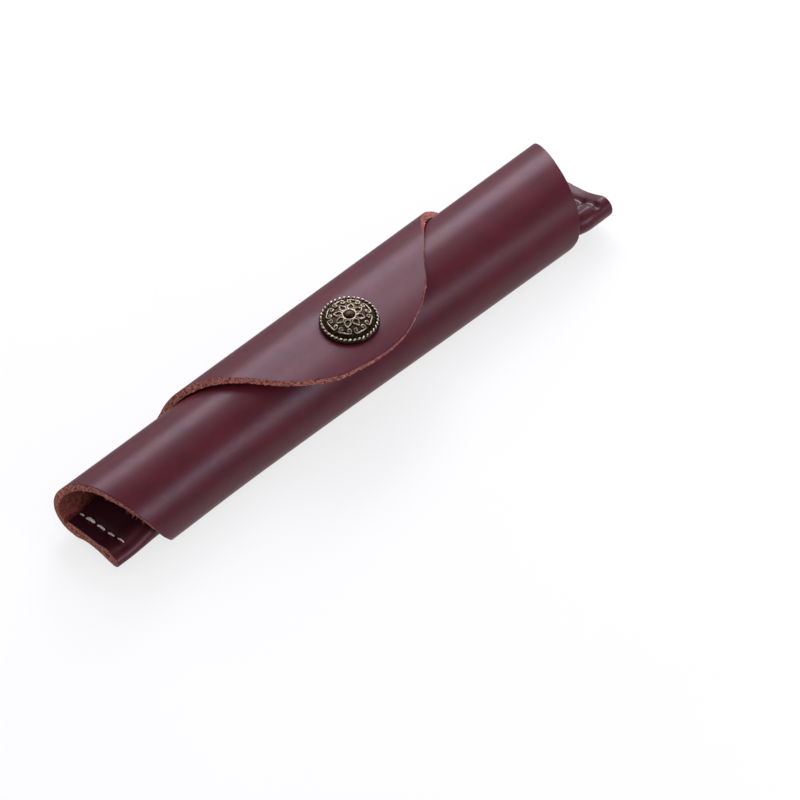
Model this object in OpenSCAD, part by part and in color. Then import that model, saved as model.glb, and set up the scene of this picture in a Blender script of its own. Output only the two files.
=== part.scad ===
// Pen sleeve: one tapered strip of thick leather, folded and rolled into a flat spiral.
// The strip runs pocket panel, base panel, wrap panel, under panel, turn and closing flap.
// X runs along the sleeve, +Y points to the spine fold, +Z is up. The sleeve lies on Z = 0.

/* [Leather] */
// Thickness of the leather
leather_t = 2.0; // [1.6:0.1:2.4]
// Air left between two layers of the roll
layer_gap = 0.3; // [0.2:0.05:0.5]

/* [Roll] */
// Length of the sleeve, end to end
sleeve_len = 170; // [150:1:190]
// Distance of the pocket fold's centre line from the sleeve's centre plane
pocket_fold_y = 8.3; // [6:0.1:10]
// Distance of the spine fold's lower centre line from the sleeve's centre plane
spine_low_y = 7.0; // [6:0.1:9]
// Clear height inside the empty pocket
pocket_gap = 4.4; // [4.2:0.1:6]
// Outer radius of the spine fold's lower quarter
spine_low_r = 5.8; // [5:0.1:7]
// Distance past the centre plane where the spine fold's upper arc ends
spine_high_y = 0.4; // [0:0.1:2]
// Distance past the centre plane where the wrap starts to turn down
shoulder_y = 4.5; // [3:0.1:5.5]
// Length of wrap from the foot of the spine fold to where the ends start to taper
straight_run = 24; // [16:1:30]

/* [Pocket ends] */
// Distance from the sleeve's end to where the pocket starts to be pressed down
press_start = 17; // [12:1:24]
// Width of the band at each end that is pressed flat on the base
press_w = 6; // [5:0.5:9]
// Width of the pocket panel's slope from the pressed band up to its fold
pucker_w = 1.7; // [1.2:0.1:2.2]

/* [Thread] */
// Diameter of the sewing thread
thread_d = 0.8; // [0.6:0.05:0.9]
// Clearance of a sewing hole round its thread
thread_clear = 0.1; // [0.05:0.01:0.15]
// Distance between sewing holes
stitch_pitch = 2.7; // [2.3:0.1:2.7]
// Distance of a seam from the end of the sleeve
seam_inset = 4.0; // [3:0.1:4.5]
// Distance of the first sewing hole from the pocket's free edge, out on the base
first_hole_gap = 0.8; // [0.8:0.05:1]
// Number of stitches in each seam
stitch_count = 5; // [3:1:5]

/* [Flap] */
// Air between the wrap and the flap at the press stud
flap_lift = 1.8; // [1.6:0.05:2.2]
// Distance from the centre plane to where the flap starts to bend down
flap_flat_y = 9.8; // [8:0.1:12]
// Outer radius of the flap's slow bend down to its point
flap_drop_r = 33.6; // [26:0.2:40]
// Height of the flap's fold line up the turn
hinge_deg = 32; // [24:1:38]
// Distance from the centre plane to the flap's point
flap_point_y = 19.3; // [17:0.1:21]
// Radius of the flap's leather pressed flat under the cap
flap_pressed_r = 6.4; // [6.2:0.1:7]

/* [Press stud] */
// Distance of the stud from the centre plane
snap_y = 5.4; // [4.8:0.1:6]
// Diameter of the decorative cap
cap_d = 15; // [14:0.1:16]
// Height of the cap's rim
cap_rim_h = 1.2; // [1:0.05:1.5]
// Diameter of a bead on the cap's rim
bead_d = 1.15; // [0.9:0.05:1.3]
// Width of the plain edge on each side of the beads
bead_edge = 0.1; // [0.05:0.05:0.2]
// Number of beads on the cap's rim
bead_count = 36; // [24:1:36]
// Height of the cap's dome above its rim
dome_h = 1.5; // [1.2:0.05:1.8]
// Diameter of the boss in the middle of the cap
boss_d = 3.6; // [3:0.1:4.4]
// Height of the boss above the dome
boss_h = 0.5; // [0.3:0.05:0.7]
// Number of petals round the boss
petal_count = 8; // [6:1:10]
// Height of the petals above the dome
petal_h = 0.2; // [0.1:0.05:0.3]
// Diameter of the post that passes through the flap
post_d = 3.6; // [3.2:0.1:4]
// Clearance of a leather hole round its post
post_clear = 0.1; // [0.05:0.01:0.2]
// Thickness of the rolled ends of the posts
post_flange_t = 0.4; // [0.3:0.05:0.5]
// Diameter of the rolled ends of the posts
post_flange_d = 5.4; // [5:0.1:5.8]
// Outer diameter of the socket
socket_d = 11.4; // [10.5:0.1:12]
// Wall of the socket
socket_wall = 0.4; // [0.3:0.05:0.5]
// Depth that the socket is pressed into the flap
socket_sink = 0.7; // [0.5:0.05:0.8]
// Air under the socket when the stud is closed
socket_gap = 0.35; // [0.3:0.05:0.4]
// Diameter of the socket's mouth
socket_mouth_d = 5.6; // [5.4:0.1:5.8]
// Diameter of the stud's flange
stud_flange_d = 9.0; // [8:0.1:10]
// Thickness of the stud's flange
stud_flange_t = 0.5; // [0.4:0.05:0.7]
// Diameter of the stud's neck
stud_neck_d = 3.8; // [3.6:0.1:4]
// Diameter of the stud's bulb
stud_bulb_d = 4.4; // [4.2:0.1:4.6]
// Height of the stud above the wrap
stud_h = 1.4; // [1.3:0.05:1.5]
// Height of the stud's bulb
bulb_h = 0.7; // [0.6:0.05:0.8]
// Diameter of the eyelet behind the stud
eyelet_d = 9.5; // [8.5:0.1:10.5]
// Radius of the wrap's leather pressed flat between the stud and its eyelet
wrap_pressed_r = 5.4; // [5.3:0.1:5.8]
// Bore of the eyelet
eyelet_bore = 2.4; // [2:0.1:2.6]
// Diameter of the wire of the socket's spring ring
spring_wire_d = 0.5; // [0.4:0.05:0.6]
// Air between the spring ring and the stud's bulb
spring_clear = 0.4; // [0.35:0.05:0.45]

/* [Hidden] */
$fn = 96;

leather_colour = "#5a2a33";
thread_colour = "#cdb9b6";
brass_colour = "#4a4236";
spring_colour = "#8c8c90";

// Heights and places of the layers, from the bottom of the roll upwards
base_z = leather_t + layer_gap;
base_top = base_z + leather_t;
pocket_z = base_top + pocket_gap;
fold_z = base_top + pocket_gap / 2;
fold_bore_r = pocket_gap / 2;
pocket_fold_r = fold_bore_r + leather_t;
wrap_fold_r = pocket_fold_r + layer_gap + leather_t;
wall_y = pocket_fold_y + wrap_fold_r;
spine_z = base_z + spine_low_r;
spine_high_r = spine_low_y + spine_low_r + spine_high_y;
wrap_top = spine_z + spine_high_r;
shoulder_r = wall_y - shoulder_y;
shoulder_z = wrap_top - shoulder_r;

// The turn and the flap, one layer further out
turn_low_r = spine_low_r + layer_gap + leather_t;
flap_bottom = wrap_top + flap_lift;
flap_top = flap_bottom + leather_t;
flap_high_r = flap_top - spine_z;
flap_high_y = flap_high_r - turn_low_r - spine_low_y;
flap_drop_z = flap_top - flap_drop_r;
hinge_y = -flap_high_y + flap_high_r * cos(hinge_deg);
hinge_z = spine_z + flap_high_r * sin(hinge_deg);
hinge_gap_deg = layer_gap / (flap_high_r - leather_t) * 180 / PI;

// The roll is moved by this much to centre the closed sleeve's box
centre_y = (flap_point_y - spine_low_y - turn_low_r) / 2;

// How far each end draws in, per length of strip past the straight run
taper_share = 0.40;
half_len = sleeve_len / 2;
quarter = 90;
half_turn = 180;
full_turn = 360;
arc_high = spine_high_r * PI / 2;
arc_low = spine_low_r * PI / 2;
arc_shoulder = shoulder_r * PI / 2;
arc_fold = wrap_fold_r * PI / 2;
run_top = arc_low + arc_high;
run_shoulder = run_top + shoulder_y - spine_high_y;
run_wall = run_shoulder + arc_shoulder;
run_fold = run_wall + shoulder_z - fold_z;
run_under = run_fold + arc_fold;
run_turn = run_under + pocket_fold_y + spine_low_y;
function half_at(run) = half_len - taper_share * max(run - straight_run, 0);

// Cut-outs run past what they cut by this much
over = 1;
reach = 4 * wrap_top;

// Flap outline seen from above: X as shares of the half length, Y as shares of hinge to point
flap_outline_shares = [
    [-0.473, 0.102], [-0.437, 0.209], [-0.391, 0.366], [-0.342, 0.527], [-0.285, 0.714], [-0.219, 0.852],
    [-0.122, 0.962], [0.009, 1.000], [0.099, 0.981], [0.199, 0.872], [0.274, 0.732], [0.330, 0.561],
    [0.389, 0.388], [0.448, 0.203]];
// Ends of the turn halfway up its lower quarter, at its side and at the fold line, of the half length
near_turn_shares = [0.645, 0.564, 0.490];
far_turn_shares = [0.683, 0.630, 0.524];
curve_steps = 4;
petal_fill_share = 0.9;

// Drawn in the plane across the sleeve, then drawn out along its length
module along_sleeve(len = sleeve_len) {
    rotate([quarter, 0, quarter]) linear_extrude(height = len, center = true) children();
}

// Part of a ring of leather, from one angle to the next; zero points to the spine, 90 up
module bend(y, z, r, from, to) {
    mid = (from + to) / 2;
    far = 2 * r;
    translate([y, z]) difference() {
        circle(r);
        circle(r - leather_t);
        polygon(concat([[0, 0], far * [cos(to), sin(to)]],
            [for (a = [to : quarter / 2 : from + full_turn - quarter / 4]) 2 * far * [cos(a), sin(a)]],
            [2 * far * [cos(from), sin(from)], far * [cos(from), sin(from)]]));
    }
}

module strip_flat(y_from, y_to, z) {
    translate([y_from, z]) square([y_to - y_from, leather_t]);
}

module strip_upright(y, z_from, z_to) {
    translate([y, z_from]) square([leather_t, z_to - z_from]);
}

// A smooth closed-form curve through the points, a few steps for each
function spline_at(p, i, t) =
    let (a = p[max(i - 1, 0)], b = p[i], c = p[i + 1], d = p[min(i + 2, len(p) - 1)])
    0.5 * (2 * b + (c - a) * t + (2 * a - 5 * b + 4 * c - d) * t * t + (3 * b - a - 3 * c + d) * t * t * t);
function spline(p) = concat(
    [for (i = [0 : len(p) - 2], k = [0 : curve_steps - 1]) spline_at(p, i, k / curve_steps)],
    [p[len(p) - 1]]);

// Keeps what lies inside an outline seen from above
module inside_plan(points) {
    intersection() {
        children();
        translate([0, 0, -over]) linear_extrude(height = reach) polygon(points);
    }
}

module sewing_holes(side) {
    for (i = [0 : stitch_count])
        translate([side * (half_len - seam_inset), hole_y(i), base_z - over])
            cylinder(h = 2 * leather_t + pocket_gap + leather_t + over, d = thread_d + 2 * thread_clear, $fn = 24);
}
function hole_y(i) = spine_low_y + first_hole_gap - i * stitch_pitch;

module base_panel() {
    color(leather_colour) difference() {
        along_sleeve() strip_flat(-pocket_fold_y, spine_low_y, base_z);
        for (side = [-1, 1]) sewing_holes(side);
    }
}

// One slab of the pocket panel, used to press its ends down
module pocket_slab(x_from, x_to, y_from, y_to, z) {
    translate([x_from, y_from, z]) cube([x_to - x_from, y_to - y_from, leather_t]);
}

module pocket_end() {
    pressed_x = half_len - press_w;
    slope_x = half_len - press_start;
    pressed_y = -pocket_fold_y + pucker_w;
    sliver = thread_clear;
    pocket_slab(pressed_x, half_len, pressed_y, spine_low_y, base_top);
    hull() {
        pocket_slab(slope_x, slope_x + sliver, pressed_y, spine_low_y, pocket_z);
        pocket_slab(pressed_x, pressed_x + sliver, pressed_y, spine_low_y, base_top);
    }
    hull() {
        pocket_slab(pressed_x, half_len, -pocket_fold_y, -pocket_fold_y + sliver, pocket_z);
        pocket_slab(pressed_x, half_len, pressed_y, pressed_y + sliver, base_top);
    }
    hull() {
        pocket_slab(slope_x, slope_x + sliver, -pocket_fold_y, pressed_y, pocket_z);
        pocket_slab(pressed_x, pressed_x + sliver, -pocket_fold_y, -pocket_fold_y + sliver, pocket_z);
        pocket_slab(pressed_x, pressed_x + sliver, pressed_y, pressed_y + sliver, base_top);
    }
}

module pocket_panel() {
    color(leather_colour) difference() {
        union() {
            along_sleeve() bend(-pocket_fold_y, fold_z, pocket_fold_r, quarter, half_turn + quarter);
            along_sleeve(sleeve_len - 2 * press_start) strip_flat(-pocket_fold_y, spine_low_y, pocket_z);
            pocket_end();
            mirror([1, 0, 0]) pocket_end();
        }
        for (side = [-1, 1]) sewing_holes(side);
    }
}

module wrap_section() {
    bend(spine_low_y, spine_z, spine_low_r, -quarter, 0);
    bend(-spine_high_y, spine_z, spine_high_r, 0, quarter);
    strip_flat(-shoulder_y, -spine_high_y, wrap_top - leather_t);
    bend(-shoulder_y, shoulder_z, shoulder_r, quarter, half_turn);
    strip_upright(-wall_y, fold_z, shoulder_z);
}

module wrap_panel() {
    start_deg = (straight_run - arc_low) / spine_high_r * half_turn / PI;
    start_y = -spine_high_y + spine_high_r * cos(start_deg);
    side = [[half_len, reach], [half_len, start_y], [half_at(run_top), -spine_high_y],
            [half_at(run_shoulder), -shoulder_y],
            [half_at(run_shoulder + arc_shoulder / 2), -shoulder_y - shoulder_r * sin(quarter / 2)],
            [half_at(run_wall), -wall_y], [half_at(run_fold), -wall_y - over]];
    flesh_z = wrap_top - leather_t;
    color(leather_colour) difference() {
        union() {
            inside_plan(concat(side, [for (i = [len(side) - 1 : -1 : 0]) [-side[i][0], side[i][1]]]))
                along_sleeve() wrap_section();
            at_snap(flesh_z) cylinder(h = leather_t, r = wrap_pressed_r);
        }
        at_snap(flesh_z - over) cylinder(h = leather_t + 2 * over, d = post_d + 2 * post_clear);
        at_snap(wrap_top - stud_flange_t) cylinder(h = over + stud_flange_t, d = stud_flange_d + 2 * post_clear);
        at_snap(flesh_z - shoulder_r / 2) cylinder(h = shoulder_r / 2, d = eyelet_d + 2 * post_clear);
        for (side = [-1, 1]) sewing_holes(side);
    }
}

module under_panel() {
    side = [[half_at(run_fold), -wall_y - over], [half_at(run_fold), -wall_y],
            [half_at(run_under), -pocket_fold_y], [half_at(run_turn), spine_low_y]];
    color(leather_colour)
        inside_plan(concat([for (p = side) [-p[0], p[1]]], [for (i = [len(side) - 1 : -1 : 0]) side[i]]))
            along_sleeve() {
                bend(-pocket_fold_y, fold_z, wrap_fold_r, half_turn, half_turn + quarter);
                strip_flat(-pocket_fold_y, spine_low_y, 0);
            }
}

// The turn's ends are cut as seen from the spine side
module turn_panel() {
    foot = half_at(run_turn);
    heights = [spine_z - turn_low_r * sin(quarter / 2), spine_z, hinge_z];
    function side(shares) = [for (i = [0 : 2]) [shares[i] * half_len, heights[i]]];
    near = concat([[foot, -over], [foot, 0]], side(near_turn_shares), [[near_turn_shares[2] * half_len, reach]]);
    far = concat([[foot, -over], [foot, 0]], side(far_turn_shares), [[far_turn_shares[2] * half_len, reach]]);
    color(leather_colour) intersection() {
        along_sleeve() {
            bend(spine_low_y, spine_z, turn_low_r, -quarter, 0);
            bend(-flap_high_y, spine_z, flap_high_r, 0, hinge_deg);
        }
        rotate([quarter, 0, 0]) linear_extrude(height = reach, center = true)
            polygon(concat([for (p = near) [-p[0], p[1]]], [for (i = [len(far) - 1 : -1 : 0]) far[i]]));
    }
}

module flap_section() {
    bend(-flap_high_y, spine_z, flap_high_r, hinge_deg + hinge_gap_deg, quarter);
    strip_flat(-flap_flat_y, -flap_high_y, flap_bottom);
    bend(-flap_flat_y, flap_drop_z, flap_drop_r, quarter, half_turn);
}

module closing_flap() {
    flap_span = hinge_y + flap_point_y;
    first = [-near_turn_shares[2] * half_len, hinge_y];
    last = [far_turn_shares[2] * half_len, hinge_y];
    outline = concat([first], [for (s = flap_outline_shares) [s[0] * half_len, hinge_y - s[1] * flap_span]], [last]);
    hinge_edge = hinge_y + over;
    color(leather_colour) difference() {
        union() {
            inside_plan(concat([[first[0], hinge_edge]], spline(outline), [[last[0], hinge_edge]]))
                along_sleeve() flap_section();
            at_snap(flap_bottom) cylinder(h = leather_t, r = flap_pressed_r);
        }
        at_snap(flap_bottom - over) cylinder(h = leather_t + 2 * over, d = post_d + 2 * post_clear);
        at_snap(wrap_top) cylinder(h = flap_lift + socket_sink, d = socket_d + 2 * post_clear);
    }
}

// One seam: bars above and below the two layers, joined by a leg in each hole
module seam(side) {
    r = thread_d / 2;
    top_z = base_top + leather_t + r;
    low_z = base_z - r;
    translate([side * (half_len - seam_inset), 0, 0]) {
        for (i = [0 : stitch_count]) translate([0, hole_y(i), 0]) {
            translate([0, 0, low_z]) cylinder(h = top_z - low_z, r = r, $fn = 24);
            translate([0, 0, low_z]) sphere(r, $fn = 24);
            translate([0, 0, top_z]) sphere(r, $fn = 24);
        }
        for (z = [low_z, top_z]) translate([0, hole_y(0), z])
            rotate([quarter, 0, 0]) cylinder(h = stitch_count * stitch_pitch, r = r, $fn = 24);
    }
}

module near_end_thread() { color(thread_colour) seam(-1); }
module far_end_thread() { color(thread_colour) seam(1); }

module at_snap(z) { translate([0, -snap_y, z]) children(); }

// A ball's cap of the given foot and height, standing on Z = 0
module ball_cap(r, h) {
    ball_r = (r * r + h * h) / (2 * h);
    intersection() {
        translate([0, 0, h - ball_r]) sphere(ball_r);
        cylinder(h = 2 * h, r = 2 * r);
    }
}

module snap_cap() {
    rim_r = cap_d / 2;
    bead_ring_r = rim_r - bead_edge - bead_d / 2;
    dome_r = rim_r - bead_d - 2 * bead_edge;
    boss_r = boss_d / 2;
    petal_ring_r = (boss_r + dome_r) / 2;
    petal_r = petal_fill_share * petal_ring_r * sin(full_turn / petal_count / 2);
    color(brass_colour) at_snap(flap_top) {
        cylinder(h = cap_rim_h, r = rim_r);
        for (i = [0 : bead_count - 1]) rotate(i * full_turn / bead_count)
            translate([bead_ring_r, 0, cap_rim_h]) sphere(d = bead_d, $fn = 16);
        translate([0, 0, cap_rim_h]) {
            ball_cap(dome_r, dome_h);
            intersection() {
                translate([0, 0, petal_h]) ball_cap(dome_r, dome_h);
                for (i = [0 : petal_count - 1]) rotate(i * full_turn / petal_count)
                    translate([petal_ring_r, 0, 0]) cylinder(h = dome_h, r = petal_r, $fn = 32);
            }
            cylinder(h = dome_h, r = boss_r);
            translate([0, 0, dome_h]) ball_cap(boss_r, boss_h);
        }
    }
}

module cap_post() {
    floor_z = flap_bottom + socket_sink - socket_wall;
    color(brass_colour) {
        at_snap(floor_z) cylinder(h = flap_top - floor_z, d = post_d);
        at_snap(floor_z - post_flange_t) cylinder(h = post_flange_t, d = post_flange_d);
    }
}

module snap_socket() {
    bottom_z = wrap_top + socket_gap;
    top_z = flap_bottom + socket_sink;
    color(brass_colour) at_snap(bottom_z) difference() {
        cylinder(h = top_z - bottom_z, d = socket_d);
        translate([0, 0, socket_wall])
            cylinder(h = top_z - bottom_z - 2 * socket_wall, d = socket_d - 2 * socket_wall);
        translate([0, 0, -over]) cylinder(h = socket_wall + 2 * over, d = socket_mouth_d);
        translate([0, 0, top_z - bottom_z - over]) cylinder(h = 2 * over, d = post_d + 2 * post_clear);
    }
}

module socket_spring() {
    ring_r = stud_bulb_d / 2 + spring_clear + spring_wire_d / 2;
    color(spring_colour) at_snap(wrap_top + socket_gap + socket_wall + spring_wire_d / 2)
        rotate_extrude() translate([ring_r, 0]) circle(d = spring_wire_d, $fn = 24);
}

module snap_stud() {
    color(brass_colour) at_snap(wrap_top - stud_flange_t) difference() {
        union() {
            cylinder(h = stud_flange_t, d = stud_flange_d);
            cylinder(h = stud_flange_t + stud_h, d = stud_neck_d);
            translate([0, 0, stud_flange_t + stud_h - bulb_h]) cylinder(h = bulb_h, d = stud_bulb_d);
        }
        translate([0, 0, -over]) cylinder(h = stud_flange_t + stud_h + 2 * over, d = eyelet_bore);
    }
}

module stud_eyelet() {
    inside_z = wrap_top - leather_t;
    color(brass_colour) at_snap(inside_z - post_flange_t) difference() {
        union() {
            cylinder(h = post_flange_t, d = eyelet_d);
            cylinder(h = leather_t + post_flange_t - stud_flange_t, d = post_d);
        }
        translate([0, 0, -over]) cylinder(h = leather_t + 2 * over, d = eyelet_bore);
    }
}

// Centres the closed sleeve's box on the origin
module in_frame() { translate([0, centre_y, 0]) children(); }

in_frame() pocket_panel();
in_frame() base_panel();
in_frame() wrap_panel();
in_frame() under_panel();
in_frame() turn_panel();
in_frame() closing_flap();
in_frame() near_end_thread();
in_frame() far_end_thread();
in_frame() snap_cap();
in_frame() cap_post();
in_frame() snap_socket();
in_frame() socket_spring();
in_frame() snap_stud();
in_frame() stud_eyelet();
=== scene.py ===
"""Looks of the rolled leather pen sleeve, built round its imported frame.

The sleeve is one strip of thick leather, folded into a pocket and rolled into a flat spiral,
with a rounded flap that a decorative press stud closes. The strip is laid out flat, cut, given
its thickness and its rough cut edges, and is then rolled up along a line close to the one that
the frame's panels follow. Sizes are in millimetres until a mesh is written.
"""

from __future__ import annotations

import logging
import math
from dataclasses import dataclass
from enum import Enum
from typing import Callable, Sequence

import bmesh
import bpy
import numpy as np
from mathutils import Matrix, Quaternion, Vector, noise

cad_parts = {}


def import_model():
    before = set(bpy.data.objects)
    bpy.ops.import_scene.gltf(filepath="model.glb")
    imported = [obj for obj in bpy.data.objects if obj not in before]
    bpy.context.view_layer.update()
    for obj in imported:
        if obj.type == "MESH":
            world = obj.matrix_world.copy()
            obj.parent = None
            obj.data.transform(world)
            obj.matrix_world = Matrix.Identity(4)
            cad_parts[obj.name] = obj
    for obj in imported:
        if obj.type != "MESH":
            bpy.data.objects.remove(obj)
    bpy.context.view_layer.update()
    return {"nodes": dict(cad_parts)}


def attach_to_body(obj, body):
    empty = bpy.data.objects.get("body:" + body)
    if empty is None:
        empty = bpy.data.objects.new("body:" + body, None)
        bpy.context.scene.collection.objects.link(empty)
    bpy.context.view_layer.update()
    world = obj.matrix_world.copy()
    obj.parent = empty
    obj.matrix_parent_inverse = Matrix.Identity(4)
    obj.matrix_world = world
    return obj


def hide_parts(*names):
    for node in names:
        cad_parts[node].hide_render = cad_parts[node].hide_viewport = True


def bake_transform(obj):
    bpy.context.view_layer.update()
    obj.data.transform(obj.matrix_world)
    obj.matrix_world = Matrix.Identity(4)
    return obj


LOG = logging.getLogger("pen_sleeve")
MM = 0.001
FLAT_PLACE = "flat_place"


class Zone(Enum):
    """The three faces that a cut piece of leather shows, in the order of its material slots."""

    GRAIN = 0
    CUT_EDGE = 1
    FLESH = 2


class End(Enum):
    """The two ends of the sleeve: the near one faces the camera."""

    NEAR = -1
    FAR = 1


# ---- small helpers ----


def linear(hex_colour: str) -> tuple[float, float, float, float]:
    """Turns an sRGB colour as written into the linear one that shaders use.

    Args:
        hex_colour: A colour such as "#5a2a33".

    Returns:
        Linear red, green, blue and an alpha of 1.
    """
    shares = [int(hex_colour[i : i + 2], 16) / 255 for i in (1, 3, 5)]
    lit = [c / 12.92 if c <= 0.04045 else ((c + 0.055) / 1.055) ** 2.4 for c in shares]
    return (lit[0], lit[1], lit[2], 1.0)


def ease(value: np.ndarray | float, start: float, end: float) -> np.ndarray:
    """Rises smoothly from 0 at start to 1 at end, which may lie below start.

    Args:
        value: Where to read the curve.
        start: Where it is still 0.
        end: Where it has reached 1.

    Returns:
        The eased share for each value.
    """
    t = np.clip((np.asarray(value, float) - start) / (end - start), 0.0, 1.0)
    return t * t * (3 - 2 * t)


def hill(value: np.ndarray, middle: float, width: float) -> np.ndarray:
    """A smooth hill of height 1 with its top at middle.

    Args:
        value: Where to read the curve.
        middle: The place of its top.
        width: Distance from the top at which it has fallen to about a third.

    Returns:
        The height for each value.
    """
    return np.exp(-(((value - middle) / width) ** 2))


def deselect_all() -> None:
    """Leaves no object selected, so that an operator acts on the new piece alone."""
    bpy.ops.object.select_all(action="DESELECT")


def make_active(piece: bpy.types.Object) -> None:
    """Selects one piece, and nothing else, for the operators that follow.

    Args:
        piece: The piece to work on.
    """
    deselect_all()
    piece.select_set(True)
    bpy.context.view_layer.objects.active = piece


def read_points(piece: bpy.types.Object) -> np.ndarray:
    """Reads a piece's vertices.

    Args:
        piece: A mesh object.

    Returns:
        One row of three millimetre coordinates for each vertex.
    """
    flat = np.zeros(len(piece.data.vertices) * 3)
    piece.data.vertices.foreach_get("co", flat)
    return flat.reshape(-1, 3) / MM


def write_points(piece: bpy.types.Object, points: np.ndarray) -> None:
    """Writes a piece's vertices.

    Args:
        piece: A mesh object.
        points: One row of three millimetre coordinates for each vertex.
    """
    piece.data.vertices.foreach_set("co", (points * MM).astype(np.float32).ravel())
    piece.data.update()


def apply_modifiers(piece: bpy.types.Object) -> None:
    """Applies every modifier of a piece in order.

    Args:
        piece: The piece, whose mesh takes the result.
    """
    make_active(piece)
    for modifier in list(piece.modifiers):
        bpy.ops.object.modifier_apply(modifier=modifier.name)


def join_pieces(name: str, pieces: Sequence[bpy.types.Object]) -> bpy.types.Object:
    """Joins pieces into one.

    Args:
        name: The joined piece's name.
        pieces: The pieces, of which the first one stays.

    Returns:
        The joined piece, in its place and with its origin at zero.
    """
    deselect_all()
    for piece in pieces:
        piece.select_set(True)
    bpy.context.view_layer.objects.active = pieces[0]
    if len(pieces) > 1:
        bpy.ops.object.join()
    made = bpy.context.view_layer.objects.active
    bpy.ops.object.transform_apply(location=True, rotation=True, scale=True)
    made.name = name
    made.data.name = name
    return made


def copy_piece(piece: bpy.types.Object, move: Matrix) -> bpy.types.Object:
    """Copies a piece with a mesh of its own and puts the copy elsewhere.

    Args:
        piece: The piece that is modelled once.
        move: Where the copy goes, applied to its mesh.

    Returns:
        The copy.
    """
    made = piece.copy()
    made.data = piece.data.copy()
    made.data.transform(move)
    bpy.context.scene.collection.objects.link(made)
    return made


def dress(piece: bpy.types.Object, *finishes: bpy.types.Material) -> None:
    """Gives a piece its finishes in the order of its material slots.

    Args:
        piece: The piece.
        finishes: The finishes, in place of any it has.
    """
    piece.data.materials.clear()
    for finish in finishes:
        piece.data.materials.append(finish)


def select_edges(
    piece: bpy.types.Object, wanted: Callable[[bmesh.types.BMEdge], bool]
) -> None:
    """Selects edges of a piece that is in edit mode, and nothing else.

    Args:
        piece: The piece.
        wanted: Says whether an edge is one of them.
    """
    bpy.ops.mesh.select_all(action="DESELECT")
    shape = bmesh.from_edit_mesh(piece.data)
    for edge in shape.edges:
        edge.select = wanted(edge)
    bmesh.update_edit_mesh(piece.data)


def smooth_shade(piece: bpy.types.Object, degrees: float) -> None:
    """Shades a piece smoothly, except over edges sharper than an angle.

    Args:
        piece: The piece.
        degrees: The angle past which an edge stays sharp.
    """
    make_active(piece)
    bpy.ops.object.shade_smooth_by_angle(angle=math.radians(degrees))


def wire(
    name: str,
    paths: Sequence[np.ndarray],
    radius: float,
    closed: bool = False,
    sides: int = 2,
    tapers: Sequence[np.ndarray] | None = None,
) -> bpy.types.Object:
    """Draws round wire along paths and makes it a mesh.

    Args:
        name: The piece's name.
        paths: Rows of millimetre points, one array for each length of wire.
        radius: The wire's radius in millimetres.
        closed: Whether each path returns to its start.
        sides: The bevel resolution of the wire's round section.
        tapers: For each path, its radius at each point as a share of the full one.

    Returns:
        The wire as a mesh object.
    """
    curve = bpy.data.curves.new(name, "CURVE")
    curve.dimensions = "3D"
    curve.bevel_depth = radius * MM
    curve.bevel_resolution = sides
    curve.use_fill_caps = True
    for index, path in enumerate(paths):
        spline = curve.splines.new("POLY")
        spline.points.add(len(path) - 1)
        shares = tapers[index] if tapers is not None else np.ones(len(path))
        for point, place, share in zip(spline.points, path, shares):
            point.co = (*(place * MM), 1.0)
            point.radius = float(share)
        spline.use_cyclic_u = closed
    piece = bpy.data.objects.new(name, curve)
    bpy.context.scene.collection.objects.link(piece)
    make_active(piece)
    bpy.ops.object.convert(target="MESH")
    made = bpy.context.view_layer.objects.active
    make_active(made)
    bpy.ops.object.shade_smooth()
    return made


class Curve:
    """A smooth curve through points, read by the share of its length."""

    def __init__(self, points: Sequence[Sequence[float]], steps: int = 24) -> None:
        """Draws the curve.

        Args:
            points: The points it passes through.
            steps: How many straight steps stand for the stretch between two points.
        """
        p = np.asarray(points, float)
        p = np.vstack([2 * p[0] - p[1], p, 2 * p[-1] - p[-2]])
        t = np.linspace(0, 1, steps, endpoint=False)[:, None]
        rows = []
        for a, b, c, d in zip(p[:-3], p[1:-2], p[2:-1], p[3:]):
            rows.append(
                0.5
                * (
                    2 * b
                    + (c - a) * t
                    + (2 * a - 5 * b + 4 * c - d) * t**2
                    + (3 * b - a - 3 * c + d) * t**3
                )
            )
        self.points = np.vstack([*rows, p[-2][None, :]])
        gaps = np.linalg.norm(np.diff(self.points, axis=0), axis=1)
        self.runs = np.concatenate([[0.0], np.cumsum(gaps)])
        self.length = float(self.runs[-1])

    def at(self, share: np.ndarray) -> np.ndarray:
        """Reads the curve.

        Args:
            share: Shares of its length, from 0 to 1.

        Returns:
            One row for each share.
        """
        run = np.asarray(share, float) * self.length
        return np.column_stack(
            [
                np.interp(run, self.runs, self.points[:, k])
                for k in range(self.points.shape[1])
            ]
        )


# ---- finishes ----


def add_node(
    tree: bpy.types.NodeTree,
    kind: str,
    settings: dict[str, object] | None = None,
    inputs: dict[str | int, object] | None = None,
) -> bpy.types.Node:
    """Adds one node with its settings and its links.

    Args:
        tree: The material's or world's node tree.
        kind: The node's type.
        settings: Values of the node's own properties.
        inputs: A value or another node's output for each of its sockets.

    Returns:
        The node.
    """
    made = tree.nodes.new(kind)
    for key, value in (settings or {}).items():
        setattr(made, key, value)
    for socket, value in (inputs or {}).items():
        if isinstance(value, bpy.types.NodeSocket):
            tree.links.new(value, made.inputs[socket])
        else:
            made.inputs[socket].default_value = value
    return made


def new_material(
    name: str,
) -> tuple[bpy.types.Material, bpy.types.NodeTree, bpy.types.Node]:
    """Makes a material with a plain shader.

    Args:
        name: The real material's name.

    Returns:
        The material, its node tree and its Principled shader.
    """
    material = bpy.data.materials.new(name)
    material.use_nodes = True
    return material, material.node_tree, material.node_tree.nodes["Principled BSDF"]


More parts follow.
